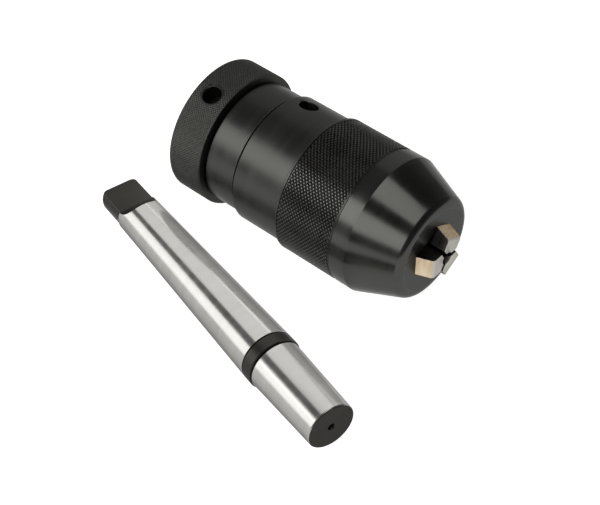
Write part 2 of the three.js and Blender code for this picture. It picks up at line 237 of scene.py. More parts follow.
def axis_matrix(node, turn, x_low_mm):
    """From millimetres on a piece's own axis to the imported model, given how its axis is turned.
    x_low_mm is where the piece's lowest end lies along that axis."""
    points = np.array([vertex.co for vertex in frame["nodes"][node].data.vertices])
    own = points @ np.array(turn.to_3x3())  # the turn undone
    low, high = own.min(0), own.max(0)
    origin = Vector((low[0] - x_low_mm * MM, (low[1] + high[1]) / 2, (low[2] + high[2]) / 2))
    return turn @ Matrix.Translation(origin) @ Matrix.Scale(MM, 4)


ARBOR_YAW = math.radians(-14.6)
TAPER_SLOPE = 1 / 40.04
ARBOR_TANG_X = -87.0
arbor_turn = Matrix.Rotation(ARBOR_YAW, 4, "Z") @ Matrix.Rotation(-math.atan(TAPER_SLOPE), 4, "Y")
CHUCK_AXIS = axis_matrix("rear_ring", Matrix.Identity(4), 0.0)
ARBOR_AXIS = axis_matrix("taper_arbor", arbor_turn, ARBOR_TANG_X)
print("Chuck rear face centre:", [round(v, 5) for v in CHUCK_AXIS.translation])
print("Arbor collar centre:", [round(v, 5) for v in ARBOR_AXIS.translation])

# %% [markdown]
# ## Turning a profile
# A lathe leaves no perfectly sharp corner: each one is broken by a small round, and that round is
# what catches the light. So a profile is a list of corners, each with its own rounding, and the
# helper draws the arcs. It adds a point just beside each arc, which keeps the smooth shading from
# bending across the long flat stretches.

# %% Profile and lathe helpers
ARC_STEPS = 6
BESIDE_ARC = 0.05


def rounded(corners):
    """[x, radius, rounding] corners of a closed outline, as plain [x, radius] points."""
    points = []
    count = len(corners)
    for i, (x, r, rounding) in enumerate(corners):
        here = Vector((x, r))
        if not rounding:
            points.append(here)
            continue
        back = (Vector(corners[i - 1][:2]) - here).normalized()
        ahead = (Vector(corners[(i + 1) % count][:2]) - here).normalized()
        half = back.angle(ahead) / 2
        reach = rounding / math.tan(half)
        start, end = here + back * reach, here + ahead * reach
        centre = here + (back + ahead).normalized() * rounding / math.sin(half)
        from_angle = math.atan2(*(start - centre).yx)
        swing = math.remainder(math.atan2(*(end - centre).yx) - from_angle, math.tau)
        points.append(start + back * BESIDE_ARC)
        for step in range(ARC_STEPS + 1):
            angle = from_angle + swing * step / ARC_STEPS
            points.append(centre + rounding * Vector((math.cos(angle), math.sin(angle))))
        points.append(end + ahead * BESIDE_ARC)
    return points


def new_piece(name, form, sharp_degrees=32):
    """A bmesh made into a shown object, smooth but for its sharp edges."""
    bmesh.ops.recalc_face_normals(form, faces=form.faces)
    mesh = bpy.data.meshes.new(name)
    form.to_mesh(mesh)
    form.free()
    mesh.shade_smooth()
    mesh.set_sharp_from_angle(angle=math.radians(sharp_degrees))
    piece = bpy.data.objects.new(name, mesh)
    bpy.context.scene.collection.objects.link(piece)
    return piece


def turned(name, corners, sides=192):
    """A solid of revolution about X. An outline that starts and ends on the axis is closed there."""
    form = bmesh.new()
    rows = []
    for x, r in rounded(corners):
        if r < 1e-6:
            rows.append([form.verts.new((x, 0, 0))])
        else:
            clocks = [math.tau * k / sides for k in range(sides)]
            rows.append([form.verts.new((x, r * math.cos(a), r * math.sin(a))) for a in clocks])
    on_axis = len(rows[0]) == 1
    for this, following in zip(rows, rows[1:] if on_axis else rows[1:] + rows[:1]):
        for k in range(sides):
            near = [this[k % len(this)], this[(k + 1) % sides % len(this)]]
            far = [following[(k + 1) % sides % len(following)], following[k % len(following)]]
            corners_here = list(dict.fromkeys(near + far))
            if len(corners_here) > 2:
                form.faces.new(corners_here)
    return new_piece(name, form)


def prism(name, outline, depth):
    """An outline of [x, y] points drawn out along Z, centred on it."""
    form = bmesh.new()
    low = [form.verts.new((x, y, -depth / 2)) for x, y in outline]
    high = [form.verts.new((x, y, depth / 2)) for x, y in outline]
    form.faces.new(low)
    form.faces.new(high)
    for i in range(len(outline)):
        j = (i + 1) % len(outline)
        form.faces.new((low[i], low[j], high[j], high[i]))
    return new_piece(name, form)


def apply_modifiers(piece):
    """Turns what the modifiers make into the piece's plain mesh."""
    bpy.context.view_layer.update()
    evaluated = piece.evaluated_get(bpy.context.evaluated_depsgraph_get())
    mesh = bpy.data.meshes.new_from_object(evaluated)
    piece.modifiers.clear()
    piece.data = mesh
    return piece


def cut(piece, cutters, sharp_degrees=32):
    """Takes the cutters out of the piece and removes them. Cut faces keep the cutter's material."""
    for cutter in cutters:
        saw = piece.modifiers.new("cut", "BOOLEAN")
        saw.object, saw.operation, saw.solver = cutter, "DIFFERENCE", "EXACT"
        saw.material_mode = "TRANSFER"
    apply_modifiers(piece)
    for cutter in cutters:
        bpy.data.objects.remove(cutter)
    piece.data.shade_smooth()
    piece.data.set_sharp_from_angle(angle=math.radians(sharp_degrees))
    return piece


def clocked(piece, degrees):
    """Turns a piece's mesh round the X axis, from +Y towards +Z."""
    piece.data.transform(Matrix.Rotation(math.radians(degrees), 4, "X"))
    return piece


def settle(piece, axis, body, slot, *nodes):
    """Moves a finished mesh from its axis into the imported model, and hands it to its body."""
    piece.data.transform(axis)
    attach(piece, body)
    if nodes:
        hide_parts(*nodes)
    print(piece.name, "->", body, len(piece.data.polygons), "faces")
    return piece


# %% [markdown]
# ## Finishes: what they share
# Two effects are on more than one metal, so each is a node group that every material places with
# its own numbers. *Lathe rings* are the fine grooves that a tool leaves round the axis.
# *Handling* is what use leaves: edges rubbed bright, and a thin uneven film of oil.

# %% Node group helpers
def new_group(name, inputs, outputs):
    """A shader node group with named sockets, each given as (name, kind, default)."""
    group = bpy.data.node_groups.new(name, "ShaderNodeTree")
    for label, kind, default in inputs:
        socket = group.interface.new_socket(label, in_out="INPUT", socket_type=kind)
        if default is not None:
            socket.default_value = default
    for label, kind in outputs:
        group.interface.new_socket(label, in_out="OUTPUT", socket_type=kind)
    return group, group.nodes.new("NodeGroupInput"), group.nodes.new("NodeGroupOutput")


def place_group(tree, group, inputs):
    return add_node(tree, "ShaderNodeGroup", inputs, node_tree=group)


# %% [markdown]
# The rings are noise that is squeezed along the axis and stretched round it. A second, wider noise
# gives the broad bands of tone that come from the skin and not from the tool.

# %% Lathe rings
PER_METRE = 1000.0
def lathe_rings_group():
    group, given, result = new_group(
        "lathe_rings",
        [
            ("Axis place", "NodeSocketVector", None), ("Rings per mm", "NodeSocketFloat", 2.5),
            ("Streaks", "NodeSocketFloat", 40.0),
        ],
        [("Height", "NodeSocketFloat"), ("Tone", "NodeSocketFloat")],
    )
    along = add_node(
        group, "ShaderNodeMath", {0: given.outputs["Rings per mm"], 1: PER_METRE},
        operation="MULTIPLY",
    )
    stretch = add_node(
        group, "ShaderNodeCombineXYZ",
        {"X": along.outputs[0], "Y": given.outputs["Streaks"], "Z": given.outputs["Streaks"]},
    )
    place = add_node(
        group, "ShaderNodeVectorMath", {0: given.outputs["Axis place"], 1: stretch.outputs[0]},
        operation="MULTIPLY",
    )
    rings = add_node(
        group, "ShaderNodeTexNoise",
        {"Vector": place.outputs[0], "Scale": 1.0, "Detail": 2.0, "Roughness": 0.6},
    )
    wide = add_node(
        group, "ShaderNodeVectorMath", {0: place.outputs[0], 1: (0.12, 0.6, 0.6)},
        operation="MULTIPLY",
    )
    bands = add_node(
        group, "ShaderNodeTexNoise", {"Vector": wide.outputs[0], "Scale": 1.0, "Detail": 1.0},
    )
    group.links.new(rings.outputs["Fac"], result.inputs["Height"])
    group.links.new(bands.outputs["Fac"], result.inputs["Tone"])
    return group


LATHE_RINGS = lathe_rings_group()
print("Group:", LATHE_RINGS.name)

# %% [markdown]
# Rubbed edges are found by comparing the true normal with one that is rounded over a small
# radius: on a flat face they agree, and near an edge they part. Noise breaks the mask up, because
# real wear is never even.

# %% Handling: rubbed edges and an oil film
FLAT_AGREES, EDGE_AGREES = 0.995, 0.90
PATCH_SCALE, FILM_SCALE, SPECK_SCALE = 900.0, 70.0, 520.0


def handling_group():
    group, given, result = new_group(
        "handling",
        [
            ("Place", "NodeSocketVector", None), ("Edge radius", "NodeSocketFloat", 0.0004),
            ("Wear", "NodeSocketFloat", 0.5),
        ],
        [("Rubbed", "NodeSocketFloat"), ("Oil", "NodeSocketFloat"), ("Specks", "NodeSocketFloat")],
    )
    soft = add_node(group, "ShaderNodeBevel", {"Radius": given.outputs["Edge radius"]}, samples=4)
    true = add_node(group, "ShaderNodeNewGeometry")
    agree = add_node(
        group, "ShaderNodeVectorMath", {0: soft.outputs[0], 1: true.outputs["Normal"]},
        operation="DOT_PRODUCT",
    )
    edge = add_node(
        group, "ShaderNodeMapRange",
        {
            "Value": agree.outputs["Value"], "From Min": FLAT_AGREES, "From Max": EDGE_AGREES,
            "To Min": 0.0, "To Max": 1.0,
        },
    )
    patches = add_node(
        group, "ShaderNodeTexNoise",
        {"Vector": given.outputs["Place"], "Scale": PATCH_SCALE, "Detail": 3.0, "Roughness": 0.65},
    )
    broken = add_node(
        group, "ShaderNodeMapRange",
        {"Value": patches.outputs["Fac"], "From Min": 0.38, "From Max": 0.62},
    )
    uneven = add_node(
        group, "ShaderNodeMath", {0: edge.outputs["Result"], 1: broken.outputs["Result"]},
        operation="MULTIPLY",
    )
    rubbed = add_node(
        group, "ShaderNodeMath", {0: uneven.outputs[0], 1: given.outputs["Wear"]},
        operation="MULTIPLY", use_clamp=True,
    )
    film = add_node(
        group, "ShaderNodeTexNoise",
        {
            "Vector": given.outputs["Place"], "Scale": FILM_SCALE, "Detail": 4.0,
            "Roughness": 0.55, "Distortion": 0.4,
        },
    )
    specks = add_node(
        group, "ShaderNodeTexVoronoi", {"Vector": given.outputs["Place"], "Scale": SPECK_SCALE},
    )
    dots = add_node(
        group, "ShaderNodeMapRange",
        {"Value": specks.outputs["Distance"], "From Min": 0.10, "From Max": 0.04},
    )
    group.links.new(rubbed.outputs[0], result.inputs["Rubbed"])
    group.links.new(film.outputs["Fac"], result.inputs["Oil"])
    group.links.new(dots.outputs["Result"], result.inputs["Specks"])
    return group


HANDLING = handling_group()
print("Group:", HANDLING.name)

# %% [markdown]
# ## The metals
# Every metal here is the same recipe with its own numbers: a colour that drifts with the oil film
# and brightens on rubbed edges, a roughness that drifts too, and a bump from the lathe rings. A
# Mapping node moves the pattern's centre onto the piece's axis, so the rings run true round it.
# Black oxide is a thin dark skin on steel, so it is a very dark metal rather than a paint.

# %% Metal recipe
DRIFT_LOW, DRIFT_HIGH = 0.7, 1.3
SPECK_DEPTH = -0.4


def metal(
    name, axis, dark, light, bare, roughness, rings, ring_depth, wear, edge=0.0004, streaks=40.0,
    crest=None, glancing=0.6,
):
    """dark and light: the two ends of the surface's colour. bare: what a rubbed edge shows.
    crest: for a knurl, the two distances from the axis in metres between which the bare colour
    comes in, and its share. glancing: how much of a clean metal's edge-on brightness is left."""
    material, tree, shader = new_material(name)
    coords = add_node(tree, "ShaderNodeTexCoord")
    centre = add_node(
        tree, "ShaderNodeMapping", {"Vector": coords.outputs["Object"]}, vector_type="TEXTURE",
    )
    centre.inputs["Location"].default_value = axis.translation
    centre.inputs["Rotation"].default_value = axis.to_euler()
    place = centre.outputs["Vector"]
    rings_node = place_group(
        tree, LATHE_RINGS, {"Axis place": place, "Rings per mm": rings, "Streaks": streaks},
    )
    use = place_group(tree, HANDLING, {"Place": place, "Edge radius": edge, "Wear": wear})
    drift = add_node(
        tree, "ShaderNodeMath", {0: use.outputs["Oil"], 1: rings_node.outputs["Tone"]},
        operation="ADD",
    )
    share = add_node(
        tree, "ShaderNodeMapRange",
        {"Value": drift.outputs[0], "From Min": DRIFT_LOW, "From Max": DRIFT_HIGH},
    )
    colour = add_node(tree, "ShaderNodeMix", {"Factor": share.outputs["Result"]}, data_type="RGBA")
    colour.inputs[6].default_value = (*dark, 1)
    colour.inputs[7].default_value = (*light, 1)
    shown = colour.outputs[2]
    if crest:
        parts = add_node(tree, "ShaderNodeSeparateXYZ", {"Vector": place})
        across = add_node(
            tree, "ShaderNodeCombineXYZ", {"Y": parts.outputs["Y"], "Z": parts.outputs["Z"]},
        )
        out = add_node(tree, "ShaderNodeVectorMath", {0: across.outputs[0]}, operation="LENGTH")
        high = add_node(
            tree, "ShaderNodeMapRange",
            {
                "Value": out.outputs["Value"], "From Min": crest[0],
                "From Max": crest[1], "To Max": crest[2],
            },
        )
        top = add_node(tree, "ShaderNodeMix", {"Factor": high.outputs["Result"]}, data_type="RGBA")
        tree.links.new(shown, top.inputs[6])
        top.inputs[7].default_value = (*bare, 1)
        shown = top.outputs[2]
    worn = add_node(tree, "ShaderNodeMix", {"Factor": use.outputs["Rubbed"]}, data_type="RGBA")
    tree.links.new(shown, worn.inputs[6])
    worn.inputs[7].default_value = (*bare, 1)
    tree.links.new(worn.outputs[2], shader.inputs["Base Color"])
    gloss = add_node(
        tree, "ShaderNodeMapRange",
        {
            "Value": drift.outputs[0], "From Min": DRIFT_LOW, "From Max": DRIFT_HIGH,
            "To Min": roughness[0], "To Max": roughness[1],
        },
    )
    tree.links.new(gloss.outputs["Result"], shader.inputs["Roughness"])
    shader.inputs["Metallic"].default_value = 1.0
    shader.inputs["Specular Tint"].default_value = (glancing, glancing, glancing, 1)
    height = add_node(
        tree, "ShaderNodeMath",
        {0: use.outputs["Specks"], 1: SPECK_DEPTH, 2: rings_node.outputs["Height"]},
        operation="MULTIPLY_ADD",
    )
    bump = add_node(
        tree, "ShaderNodeBump",
        {"Height": height.outputs[0], "Distance": ring_depth * MM, "Strength": 1.0},
    )
    tree.links.new(bump.outputs["Normal"], shader.inputs["Normal"])
    print("Metal:", name)
    return material


BARE_STEEL = (0.26, 0.25, 0.24)
BLACK_OXIDE = metal(
    "black_oxide", CHUCK_AXIS, (0.061, 0.062, 0.057), (0.074, 0.074, 0.069), BARE_STEEL,
    roughness=(0.29, 0.39), rings=2.2, ring_depth=0.003, wear=0.3,
)
POLISHED_OXIDE = metal(
    "polished_black_oxide", CHUCK_AXIS, (0.061, 0.062, 0.057), (0.074, 0.074, 0.069), BARE_STEEL,
    roughness=(0.17, 0.25), rings=2.2, ring_depth=0.002, wear=0.3,
)
KNURLED_OXIDE = metal(
    "knurled_black_oxide", CHUCK_AXIS,
    (0.036, 0.0365, 0.033), (0.050, 0.050, 0.046), (0.20, 0.20, 0.185),
    roughness=(0.24, 0.34), rings=1.2, ring_depth=0.004, wear=0.3, crest=(0.02290, 0.02298, 0.55),
)
MATTE_OXIDE = metal(
    "matte_black_oxide", CHUCK_AXIS,
    (0.046, 0.047, 0.042), (0.064, 0.065, 0.059), (0.15, 0.15, 0.14),
    roughness=(0.42, 0.52), rings=1.2, ring_depth=0.004, wear=0.3, crest=(0.02290, 0.02300, 0.35),
)
GROUND_STEEL = metal(
    "ground_steel", ARBOR_AXIS, (0.345, 0.338, 0.320), (0.385, 0.376, 0.358), (0.5, 0.49, 0.48),
    roughness=(0.16, 0.23), rings=3.0, ring_depth=0.002, wear=0.4, streaks=25.0, glancing=0.36,
)
ARBOR_OXIDE = metal(
    "arbor_black_oxide", ARBOR_AXIS,
    (0.031, 0.029, 0.026), (0.045, 0.042, 0.038), (0.22, 0.20, 0.185),
    roughness=(0.34, 0.46), rings=1.5, ring_depth=0.004, wear=0.4,
)
# On the jaw metals the rubbed edge colour is partly wear and partly a painted highlight along the
# edges.
JAW_END = metal(
    "jaw_end_steel", CHUCK_AXIS, (0.40, 0.385, 0.345), (0.50, 0.475, 0.44), (0.6, 0.56, 0.52),
    roughness=(0.30, 0.40), rings=1.0, ring_depth=0.002, wear=0.5, edge=0.0003, streaks=300.0,
)
# Painted reflection: the back's straw and gold colour stands in for warm light mirrored in the
# ground steel.
JAW_BACK_PAINTED_REFLECTION = metal(
    "jaw_back_painted_reflection", CHUCK_AXIS, (0.42, 0.30, 0.17), (0.64, 0.54, 0.39), (0.65, 0.58, 0.48),
    roughness=(0.24, 0.34), rings=5.0, ring_depth=0.002, wear=0.5, edge=0.0003, streaks=300.0,
)
# Painted shade: the sides' near black stands in for shade on the same ground steel.
JAW_SIDE_PAINTED_SHADE = metal(
    "jaw_side_painted_shade", CHUCK_AXIS, (0.060, 0.055, 0.048), (0.11, 0.10, 0.09), (0.5, 0.46, 0.42),
    roughness=(0.26, 0.38), rings=5.0, ring_depth=0.002, wear=0.5, edge=0.0003, streaks=300.0,
)
HARD_STEEL = metal(
    "hardened_steel", CHUCK_AXIS, (0.16, 0.155, 0.15), (0.24, 0.23, 0.22), (0.5, 0.49, 0.47),
    roughness=(0.3, 0.42), rings=2.0, ring_depth=0.003, wear=0.5,
)
BEARING_STEEL = metal(
    "bearing_steel", CHUCK_AXIS, (0.50, 0.51, 0.53), (0.60, 0.61, 0.63), (0.7, 0.7, 0.72),
    roughness=(0.08, 0.14), rings=4.0, ring_depth=0.0005, wear=0.2,
)
BRASS = metal(
    "brass_cage", CHUCK_AXIS, (0.50, 0.34, 0.13), (0.62, 0.44, 0.18), (0.75, 0.58, 0.28),
    roughness=(0.25, 0.38), rings=2.0, ring_depth=0.002, wear=0.4,
)

# %% [markdown]
# ## The body and its taper socket
# The body is the still core of the chuck. Only its rear face shows, with the tapered socket that
# the arbor presses into. The walls are turned as one profile, from the socket's floor out to the
# flange.

# %% Body with the socket
SOCKET_MOUTH = 8.585
SOCKET_SLOPE = 0.02596
SOCKET_DEPTH = 26.0
CORE = 13.4
FLANGE, FLANGE_START, FLANGE_END = 17, 20.6, 24.6
TUBE, TUBE_BORE, TUBE_FLOOR, TUBE_END = 11, 6.2, 26.8, 48.3
socket_end = SOCKET_MOUTH - SOCKET_SLOPE * SOCKET_DEPTH
body = turned("body_with_socket", [
    (SOCKET_DEPTH, 0, 0), (SOCKET_DEPTH, socket_end, 0), (0, SOCKET_MOUTH, 0.45), (0, CORE, 0.4),
    (FLANGE_START, CORE, 0), (FLANGE_START, FLANGE, 0.2), (FLANGE_END, FLANGE, 0.2),
    (FLANGE_END, TUBE, 0), (TUBE_END, TUBE, 0.4),
    (TUBE_END, TUBE_BORE, 0), (TUBE_FLOOR, TUBE_BORE, 0), (TUBE_FLOOR, 0, 0),
])
body.data.materials.append(BLACK_OXIDE)
settle(body, CHUCK_AXIS, "chuck_body", "black_oxide", "chuck_body")

# %% [markdown]
# ## Knurls
# A knurling wheel presses two crossing sets of grooves into the steel, which leaves rows of small
# diamonds with slightly flattened tops. The rows follow a rule, so Geometry Nodes lay them out:
# one low four-sided stud, set on points that go round the axis, each row half a step on from the
# last. A round spanner hole interrupts the pattern, so points near it are left out. The named
# inputs let the same tree make the coarse knurl of the hood and the fine one of the rear ring.

# %% Build the knurl tree
def knurl_tree():
    tree = bpy.data.node_groups.new("diamond_knurl", "GeometryNodeTree")
    face = tree.interface
    face.new_socket("Geometry", in_out="INPUT", socket_type="NodeSocketGeometry")
    for label, kind in [
        ("Studs round", "Int"), ("Rows", "Int"), ("Start", "Float"), ("Row step", "Float"),
        ("Floor radius", "Float"), ("Crest radius", "Float"), ("Flat share", "Float"),
        ("Hole place", "Vector"), ("Hole clearance", "Float"), ("Finish", "Material"),
    ]:
        face.new_socket(label, in_out="INPUT", socket_type="NodeSocket" + kind)
    face.new_socket("Geometry", in_out="OUTPUT", socket_type="NodeSocketGeometry")
    given, result = tree.nodes.new("NodeGroupInput"), tree.nodes.new("NodeGroupOutput")
    ask = given.outputs

    def maths(operation, a, b=None):
        inputs = {0: a} if b is None else {0: a, 1: b}
        return add_node(tree, "ShaderNodeMath", inputs, operation=operation).outputs[0]

    index = add_node(tree, "GeometryNodeInputIndex").outputs[0]
    row = maths("FLOOR", maths("DIVIDE", index, ask["Studs round"]))
    column = maths("SUBTRACT", index, maths("MULTIPLY", row, ask["Studs round"]))
    shifted = maths("ADD", column, maths("MULTIPLY", maths("MODULO", row, 2.0), 0.5))
    step_angle = maths("DIVIDE", math.tau, ask["Studs round"])
    clock = maths("MULTIPLY", shifted, step_angle)
    x = maths("ADD", maths("MULTIPLY", row, ask["Row step"]), ask["Start"])
    y = maths("MULTIPLY", maths("SINE", clock), maths("MULTIPLY", ask["Floor radius"], -1.0))
    z = maths("MULTIPLY", maths("COSINE", clock), ask["Floor radius"])
    spot = add_node(tree, "ShaderNodeCombineXYZ", {"X": x, "Y": y, "Z": z}).outputs[0]
    total = maths("MULTIPLY", ask["Studs round"], ask["Rows"])
    points = add_node(tree, "GeometryNodePoints", {"Count": total, "Position": spot})
    place = add_node(tree, "GeometryNodeInputPosition").outputs[0]
    gap = add_node(
        tree, "ShaderNodeVectorMath", {0: place, 1: ask["Hole place"]}, operation="DISTANCE",
    )
    near = add_node(
        tree, "FunctionNodeCompare", {0: gap.outputs["Value"], 1: ask["Hole clearance"]},
        data_type="FLOAT", operation="LESS_THAN",
    )
    kept = add_node(
        tree, "GeometryNodeDeleteGeometry",
        {"Geometry": points.outputs[0], "Selection": near.outputs[0]}, domain="POINT",
    )

    depth = maths("SUBTRACT", ask["Crest radius"], ask["Floor radius"])
    half_round = maths("MULTIPLY", maths("MULTIPLY", ask["Floor radius"], step_angle), 0.5)
    stud = add_node(tree, "GeometryNodeMeshCone", {
        "Vertices": 4, "Radius Top": ask["Flat share"], "Radius Bottom": 1.0, "Depth": depth,
    }, fill_type="NGON")
    stud_size = add_node(
        tree, "ShaderNodeCombineXYZ", {"X": ask["Row step"], "Y": half_round, "Z": 1.0},
    )
    shaped = add_node(
        tree, "GeometryNodeTransform",
        {"Geometry": stud.outputs["Mesh"], "Scale": stud_size.outputs[0]},
    )
    flat = add_node(
        tree, "GeometryNodeSetShadeSmooth", {"Geometry": shaped.outputs[0], "Shade Smooth": False},
    )
    radial = add_node(tree, "FunctionNodeAxisAngleToRotation", {"Axis": (1, 0, 0)})
    spot_here = add_node(tree, "ShaderNodeSeparateXYZ", {0: place}).outputs
    clock_here = maths("ARCTAN2", maths("MULTIPLY", spot_here["Y"], -1.0), spot_here["Z"])
    tree.links.new(clock_here, radial.inputs["Angle"])
    laid = add_node(tree, "GeometryNodeInstanceOnPoints", {
        "Points": kept.outputs[0], "Instance": flat.outputs[0], "Rotation": radial.outputs[0],
    })
    joined = add_node(tree, "GeometryNodeJoinGeometry")
    tree.links.new(laid.outputs[0], joined.inputs[0])
    tree.links.new(ask["Geometry"], joined.inputs[0])
    real = add_node(tree, "GeometryNodeRealizeInstances", {"Geometry": joined.outputs[0]})
    finish = add_node(
        tree, "GeometryNodeSetMaterial", {"Geometry": real.outputs[0], "Material": ask["Finish"]},
    )
    tree.links.new(finish.outputs[0], result.inputs[0])
    return tree


DIAMOND_KNURL = knurl_tree()
print("Knurl tree:", len(DIAMOND_KNURL.nodes), "nodes")


def knurl(piece, **values):
    """Lays the knurl on a piece, with values for the tree's named inputs."""
    press = piece.modifiers.new("knurl", "NODES")
    press.node_group = DIAMOND_KNURL
    sockets = {
        s.name: s.identifier for s in DIAMOND_KNURL.interface.items_tree if s.in_out == "INPUT"
    }
    for label, value in values.items():
        press[sockets[label.replace("_", " ").capitalize()]] = value
    apply_modifiers(piece)
    print(piece.name, "has", len(piece.data.polygons), "faces with its knurl")
    return piece


# %% [markdown]
# ## Rear ring
# The rear ring is held still while the shell is turned, so it is knurled finely all over and its
# edges are well rounded. A round hole in its side takes a pin spanner. The hole is drilled first,
# with a small countersink, and the knurl then keeps clear of it.

# %% Rear ring with its spanner hole
RING_END = 12.9
OUTSIDE = 23.0
SPANNER, FLARE, DRILL_PAST = 3.15, 0.35, 2


def spanner_drill(x, clock, floor, surface):
    """A drill standing radially at a clock angle, with a countersink at the surface."""
    top = surface + DRILL_PAST
    drill = turned("drill", [
        (floor, 0, 0), (floor, SPANNER, 0), (surface - FLARE, SPANNER, 0),
        (top, SPANNER + FLARE + DRILL_PAST, 0), (top, 0, 0),
    ], sides=64)
    upright = Matrix.Rotation(math.radians(90), 4, "Z")
    at_clock = Matrix.Rotation(math.radians(clock), 4, "X")
    drill.data.transform(Matrix.Translation((x, 0, 0)) @ at_clock @ upright)
    drill.data.materials.append(BLACK_OXIDE)
    return drill


def on_surface(x, clock, radius):
    """The point at that distance from the axis, at a clock angle from +Y towards +Z."""
    angle = math.radians(clock)
    return (x, radius * math.cos(angle), radius * math.sin(angle))


RING_HOLE_X, RING_HOLE_CLOCK = 6.4, 112
RING_BORE = CORE + 0.1
SUNK = 0.01  # how far the studs are sunk, and how far their crests stay inside the CAD box
ring_floor = OUTSIDE - 0.14
ring = turned("knurled_rear_ring", [
    (0, RING_BORE, 0), (0, ring_floor, 0.6), (RING_END, ring_floor, 0.3), (RING_END, RING_BORE, 0),
], sides=256)
ring.data.materials.append(MATTE_OXIDE)
cut(ring, [spanner_drill(RING_HOLE_X, RING_HOLE_CLOCK, 16, ring_floor)])
knurl(
    ring, studs_round=145, rows=24, start=0.8, row_step=0.5, floor_radius=ring_floor - SUNK,
    crest_radius=OUTSIDE - SUNK, flat_share=0.3,
    hole_place=on_surface(RING_HOLE_X, RING_HOLE_CLOCK, ring_floor),
    hole_clearance=SPANNER + 0.75, finish=MATTE_OXIDE,
)
settle(ring, CHUCK_AXIS, "chuck_body", "knurled_black_oxide", "rear_ring")

# %% [markdown]
# ## Bearing sleeve
# Behind the hood, a plain sleeve covers the thrust bearing. It is a touch smaller than the hood,
# so the joint between them shows as a fine dark line. Its front end is a spigot that the hood is
# pressed over.

# %% Bearing sleeve
SLEEVE, SLEEVE_START = 20.8, 13.8
SEAM, SEAM_GROOVE = 26.2, 1.0
SPIGOT, SPIGOT_BORE, SPIGOT_END = 18.85, 17.4, 33.5
SLEEVE_FLOOR, SLEEVE_HOLE = 15.4, CORE + 0.4
groove_floor = SLEEVE - 0.6
sleeve = turned("turned_sleeve", [
    (SLEEVE_START, SLEEVE_HOLE, 0), (SLEEVE_START, SLEEVE, 0.4), (SEAM - SEAM_GROOVE, SLEEVE, 0.1),
    (SEAM - SEAM_GROOVE, groove_floor, 0), (SEAM, groove_floor, 0), (SEAM, SPIGOT, 0),
    (SPIGOT_END, SPIGOT, 0), (SPIGOT_END, SPIGOT_BORE, 0), (SLEEVE_FLOOR, SPIGOT_BORE, 0),
    (SLEEVE_FLOOR, SLEEVE_HOLE, 0),
])
sleeve.data.materials.append(BLACK_OXIDE)
settle(sleeve, CHUCK_AXIS, "shell", "black_oxide", "bearing_sleeve")

# %% [markdown]
# ## Hood
# The hood is the grip and the nose in one turned piece. From the rear it has a plain band with a
# spanner hole, a knurled band, a narrow polished band and a cone that ends in a rounded nose. A
# fine groove parts the knurl from the polished band. The knurled band's floor is turned a little
# low, and a separate knurled sleeve stands on it, so that the diamonds end cleanly at both edges.

# %% Hood
HOOD = 21.9
KNURL_START, KNURL_END = 44.4, 66.2
CONE_START, NOSE_X, NOSE = 71.9, 88.0, 16.66
BORE = 19.6
NOSE_ROUND = 3.0
GUIDE_NOSE = 14.1
cone_slope = (OUTSIDE - NOSE) / (NOSE_X - CONE_START)
bore_cone_x = NOSE_X - (BORE - GUIDE_NOSE - 0.02) / cone_slope
HOOD_HOLE_X, HOOD_HOLE_CLOCK = 32.1, 69
HOOD_BACK = SEAM + 0.12
HOOD_MOUTH, HOOD_MOUTH_END = 18.95, 34
BAND_BED = OUTSIDE - 0.5
hood = turned("turned_hood", [
    (HOOD_BACK, HOOD_MOUTH, 0), (HOOD_BACK, HOOD, 0.15),
    (KNURL_START, HOOD, 0), (KNURL_START, OUTSIDE, 0.25), (KNURL_START + 0.7, OUTSIDE, 0),
    (KNURL_START + 0.95, BAND_BED, 0), (KNURL_END - 0.35, BAND_BED, 0),
    (KNURL_END + 0.05, OUTSIDE, 0.08), (CONE_START, OUTSIDE, 0.35), (NOSE_X, NOSE, NOSE_ROUND),
    (NOSE_X, GUIDE_NOSE + 0.02, 0), (bore_cone_x, BORE, 0),
    (HOOD_MOUTH_END, BORE, 0), (HOOD_MOUTH_END, HOOD_MOUTH, 0),
], sides=256)
for finish in (BLACK_OXIDE, POLISHED_OXIDE):
    hood.data.materials.append(finish)
cut(hood, [spanner_drill(HOOD_HOLE_X, HOOD_HOLE_CLOCK, 17, HOOD)])
for face in hood.data.polygons:
    if min(hood.data.vertices[v].co.x for v in face.vertices) > KNURL_END:
        face.material_index = 1  # the band and the cone, which are polished
settle(hood, CHUCK_AXIS, "shell", "black_oxide", "hood")

# %% [markdown]
# The hood's knurl is the coarse one, and it has no hole to keep clear of. Its diamonds are a little
# wider round the hood than along it.

# %% Knurled band of the hood
BAND_START, BAND_END = KNURL_START + 0.8, KNURL_END - 0.25
BAND_UNDER, BAND_STEP = OUTSIDE - 0.6, 0.62
band_floor = OUTSIDE - 0.3
band = turned("hood_knurl", [
    (BAND_START, BAND_UNDER, 0), (BAND_START, band_floor, 0.05),
    (BAND_END, band_floor, 0.05), (BAND_END, BAND_UNDER, 0),
])
band_rows = int((KNURL_END - KNURL_START - 1.9) / BAND_STEP)
knurl(
    band, studs_round=88, rows=band_rows, start=KNURL_START + 1.35, row_step=BAND_STEP,
    floor_radius=band_floor - SUNK, crest_radius=OUTSIDE - SUNK, flat_share=0.32,
    hole_place=(0, 0, 0), hole_clearance=0.0, finish=KNURLED_OXIDE,
)
settle(band, CHUCK_AXIS, "shell", "knurled_black_oxide")

# %% [markdown]
# ## Jaw guide
# The guide is a conical plug locked inside the hood. Only its end shows, flush with the nose,
# with three slots that the jaws slide in. The slots slant towards the axis, which is what closes
# the jaws as they come forward.

